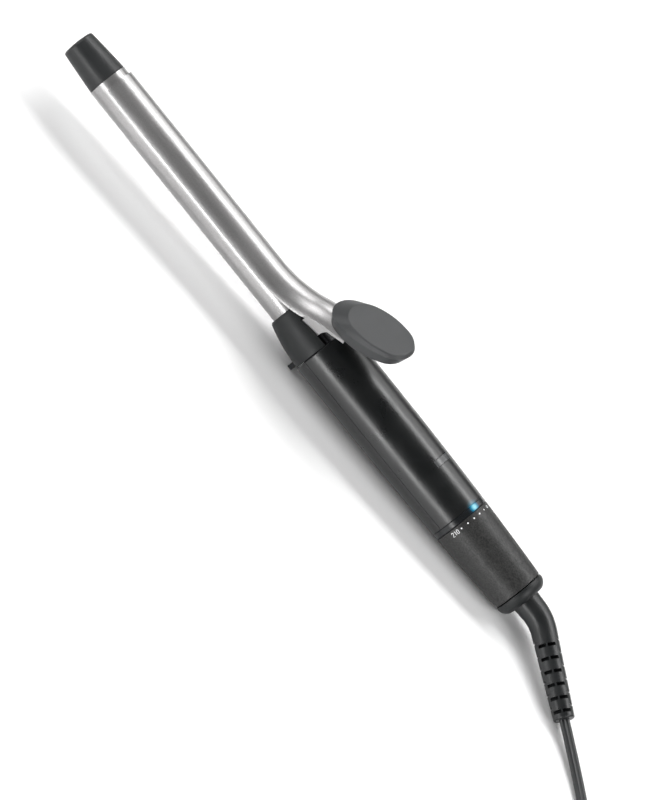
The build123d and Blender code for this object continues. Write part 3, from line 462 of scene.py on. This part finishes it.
def ring_points(u, v, radius):
    """Points (u, v) round a circle and back to the first."""
    steps = 16
    around = [(u + radius * math.cos(k * math.tau / steps), v + radius * math.sin(k * math.tau / steps))
              for k in range(steps)]
    return around + around[:1]


def mark_place(steps):
    """Distance u of a mark that is so many steps from the lamp towards the front."""
    return -math.radians(MARK_STEP * steps) * DIAL_R


def make_marks():
    """The dial's printed scale: a ring, five dots and the hottest setting."""
    verts, faces = [], []
    for steps in DOTS:
        ink_stroke(ring_points(mark_place(steps), 0, DOT_R / 2), DOT_R, verts, faces)
    ink_stroke(ring_points(mark_place(RING_PLACE), MARK_SHIFT, RING_R), RING_LINE, verts, faces)
    middle = mark_place(NUMBER_PLACE)
    for digit, shift in DIGIT_PLACES:
        points = [(middle + shift + DIGIT_HALF_WIDTH * u, DIGIT_HALF_HEIGHT * v - MARK_SHIFT)
                  for u, v in DIGITS[digit]]
        ink_stroke(points, DIGIT_LINE, verts, faces)
    new_piece("dial_marks", verts, faces, "mark_ink", "dial_body", smooth=False)


make_marks()

# ---- cord --------------------------------------------------------------------------------------
CORD_WIDTH, CORD_THICK = 5.2, 3.1
FLOOR_GAP = 0.1
FLOOR_LINE = FLOOR_GAP + CORD_THICK / 2
HANK_AT = Vector((380.0, -38.5, 0))
HANK_LIFT = 1.0
HANK_RUN = 26.0                     # half the length of the hank's straight sides
HANK_OUTER = 20.9                   # radius of the outer row at the hank's ends
HANK_INNER = HANK_OUTER - CORD_WIDTH
END_STEPS = 7                       # control points round each end of the hank
END_WAVER, RUN_WAVER = 0.3, 0.5     # no turn lies quite on the one below
PLUG_REAR = Vector((388.0, 0.5, 7.0))
RELIEF_BEND = on_iron(329.0) / MM
RELIEF_END = on_iron(368.8, -23.9, -4.6) / MM
CORD_WAY = (RELIEF_END - RELIEF_BEND).normalized()
CORD_START = RELIEF_END - CORD_WAY * 6.0


def hank_points():
    """Seven turns, clockwise from the plug's side: out and in along each layer, the last one outside."""
    rows = [HANK_OUTER, HANK_INNER, HANK_INNER, HANK_OUTER, HANK_OUTER, HANK_INNER, HANK_OUTER]
    step_angle = math.pi / (END_STEPS - 1)
    points = []
    for turn, row in enumerate(rows):
        height = HANK_LIFT + CORD_THICK * (0.5 + turn // 2)
        for side in (1, -1):
            reach = (row + END_WAVER * math.sin(2.1 * turn + side)) / math.cos(step_angle / 2)
            run = HANK_RUN - RUN_WAVER + RUN_WAVER * math.sin(1.7 * turn + side)
            for step in range(END_STEPS):
                angle = math.pi / 2 - step_angle * step
                if turn == len(rows) - 1 and side == -1 and angle < math.radians(-45):
                    return points
                points.append(HANK_AT + Vector((side * (run + reach * math.cos(angle)),
                                                side * reach * math.sin(angle), height)))
    return points


def cord_route():
    """Control points from inside the relief, over the table, round the hank and to the plug."""
    top = HANK_LIFT + 3.5 * CORD_THICK + 0.1
    return [
        CORD_START,
        Vector((231.8, -37.0, FLOOR_LINE)),
        Vector((262.0, -64.0, FLOOR_LINE)),
        Vector((296.0, -58.0, FLOOR_LINE)),
        Vector((313.0, -28.0, FLOOR_LINE)),
        Vector((336.0, -19.4, FLOOR_LINE + 0.9)),
        *hank_points(),
        Vector((359.5, 0.5, top)),
        PLUG_REAR + Vector((-8.0, 0, 1.2)),
        PLUG_REAR + Vector((1.5, 0, 0)),
    ]


def spline_points(route, resolution):
    """The smooth line that a NURBS spline makes of a route, in metres."""
    curve = bpy.data.curves.new("route", "CURVE")
    curve.dimensions = "3D"
    curve.resolution_u = resolution
    spline = curve.splines.new("NURBS")
    spline.points.add(len(route) - 1)
    for point, place in zip(spline.points, route):
        point.co = (*(place * MM), 1)
    spline.order_u = 3
    spline.use_endpoint_u = True
    line = bpy.data.objects.new("route", curve)
    mesh = bpy.data.meshes.new_from_object(line)
    points = [v.co.copy() for v in mesh.vertices]
    bpy.data.objects.remove(line)
    bpy.data.meshes.remove(mesh)
    return points


def twin_section(width, thick, steps=14):
    """Outline of a flat twin flex: two round cores side by side with a shallow groove between."""
    radius = thick / 2
    centre = width / 2 - radius
    open_angle = math.acos(centre / radius)
    points = []
    for side in (1, -1):
        for step in range(steps):
            turn = (math.pi - open_angle) * (2 * step / (steps - 1) - 1)
            points.append((side * (centre + radius * math.cos(turn)), side * radius * math.sin(turn)))
    return points


def ring_faces(i, j, count):
    """Faces between ring i and ring j of a skin, each ring with so many points."""
    faces = []
    for k in range(count):
        m = (k + 1) % count
        faces.append((i * count + k, j * count + k, j * count + m, i * count + m))
    return faces


def tube_along(points, section):
    """Rings of the section along a line, its wide side kept level, and closed ends."""
    verts, faces = [], []
    count = len(section)
    for i, point in enumerate(points):
        way = (points[min(i + 1, len(points) - 1)] - points[max(i - 1, 0)]).normalized()
        side = way.cross(Vector((0, 0, 1))).normalized()
        up = side.cross(way)
        verts += [point + (side * x + up * y) * MM for x, y in section]
    for i in range(len(points) - 1):
        faces += ring_faces(i, i + 1, count)
    faces.append(tuple(reversed(range(count))))
    faces.append(tuple((len(points) - 1) * count + j for j in range(count)))
    return verts, faces


def make_cord(straps):
    """The flat cord on the floor and in its hank, as one soft run; the straps that it is given are not
    used.
    """
    line = spline_points(cord_route(), 8)
    verts, faces = tube_along(line, twin_section(CORD_WIDTH, CORD_THICK))
    cord = new_piece("mains_cord", verts, faces, "cord_pvc", "cord_body")
    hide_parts("power_cord", "cord_hank")


# ---- strap round the hank ----------------------------------------------------------------------
STRAP_WIDE = 14.0
STRAP_THICK = 0.9
STRAP_HALF = HANK_OUTER + CORD_WIDTH / 2 + 0.95     # from the hank's middle to the strap's outer face
STRAP_TOP = HANK_LIFT + 4 * CORD_THICK + 0.35       # height of the strap's middle line on the hank
STRAP_FOOT = FLOOR_GAP + STRAP_THICK / 2            # and under it
STRAP_CORNER = 3.2
CORNER_STEPS = 8
STRAP_SECTION = [                   # in halves of the strap's width and thickness
    (-1.0, 0.0), (-0.985, 0.5), (-0.93, 0.95), (0.93, 0.95), (0.985, 0.5),
    (1.0, 0.0), (0.985, -0.5), (0.93, -0.95), (-0.93, -0.95), (-0.985, -0.5),
]
RIPPLE = 0.06                       # waves of the outer face, on the flat part between the selvedges
RIPPLE_TURN = 0.55                  # radians from one ring to the next
FLAT_PART = 0.95
TONGUE_FROM, TONGUE_LONG = -4.0, 19.0               # along y from the hank's middle
TONGUE_STEPS = 16
TONGUE_NARROW = 0.96
TONGUE_FLAT = 0.8                   # the part of its length that lies flat
TONGUE_CURL = 12.5
TONGUE_STRAIGHT = 0.86              # the part of its length that keeps its width
TONGUE_ROUND = 0.2


def strap_line():
    """Points (y, z) of the strap's middle line, from the top down the rear side and under the hank."""
    half = STRAP_HALF - STRAP_THICK / 2 - STRAP_CORNER
    top, low = STRAP_TOP - STRAP_CORNER, STRAP_FOOT + STRAP_CORNER
    line = []
    for y, z, start in ((half, top, 90), (half, low, 0), (-half, low, -90), (-half, top, -180)):
        for step in range(CORNER_STEPS + 1):
            turn = math.radians(start - 90 * step / CORNER_STEPS)
            line.append((y + STRAP_CORNER * math.cos(turn), z + STRAP_CORNER * math.sin(turn)))
    return line


def even_points(line):
    """Points about 1 mm apart round a closed line."""
    points = []
    for (y0, z0), (y1, z1) in zip(line, line[1:] + line[:1]):
        count = max(1, round(math.hypot(y1 - y0, z1 - z0)))
        points += [(y0 + (y1 - y0) * k / count, z0 + (z1 - z0) * k / count) for k in range(count)]
    return points


def make_band():
    """The woven strap closed round the hank, with rounded selvedges."""
    line = even_points(strap_line())
    total, count = len(line), len(STRAP_SECTION)
    verts, faces = [], []
    for i, (y, z) in enumerate(line):
        before, after = line[i - 1], line[(i + 1) % total]
        dy, dz = after[0] - before[0], after[1] - before[1]
        size = math.hypot(dy, dz)
        for u, w in STRAP_SECTION:
            rise = w * STRAP_THICK / 2
            if abs(u) < FLAT_PART and w > 0:
                rise += RIPPLE * math.sin(RIPPLE_TURN * i)
            verts.append(Vector((HANK_AT.x + u * STRAP_WIDE / 2, HANK_AT.y + y - dz / size * rise,
                                 z + dy / size * rise)) * MM)
        j = (i + 1) % total
        for k in range(count):
            m = (k + 1) % count
            faces.append((i * count + k, i * count + m, j * count + m, j * count + k))
    return new_piece("hank_strap", verts, faces, "tie_fabric", "cord_body")


def make_tongue():
    """The strap's loose end, which lies on top of it, rises a little and is round at its tip."""
    verts, faces = [], []
    count = len(STRAP_SECTION)
    for i in range(TONGUE_STEPS + 1):
        t = i / TONGUE_STEPS
        y = HANK_AT.y + TONGUE_FROM + TONGUE_LONG * t
        lift = STRAP_TOP + STRAP_THICK * 0.95 + TONGUE_CURL * max(0.0, t - TONGUE_FLAT) ** 2
        past = max(0.0, t - TONGUE_STRAIGHT) / TONGUE_ROUND
        half = TONGUE_NARROW * STRAP_WIDE / 2 * math.sqrt(1 - past ** 2)
        for u, w in STRAP_SECTION:
            verts.append(Vector((HANK_AT.x + u * half, y, lift + w * STRAP_THICK * 0.45)) * MM)
    for i in range(TONGUE_STEPS):
        faces += ring_faces(i, i + 1, count)
    faces.append(tuple(range(count)))
    faces.append(tuple(TONGUE_STEPS * count + k for k in reversed(range(count))))
    return new_piece("strap_tongue", verts, faces, "tie_fabric", "cord_body")


def make_strap():
    """The strap's two pieces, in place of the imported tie."""
    band, tongue = make_band(), make_tongue()
    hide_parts("cord_tie")
    return band, tongue


make_cord(make_strap())
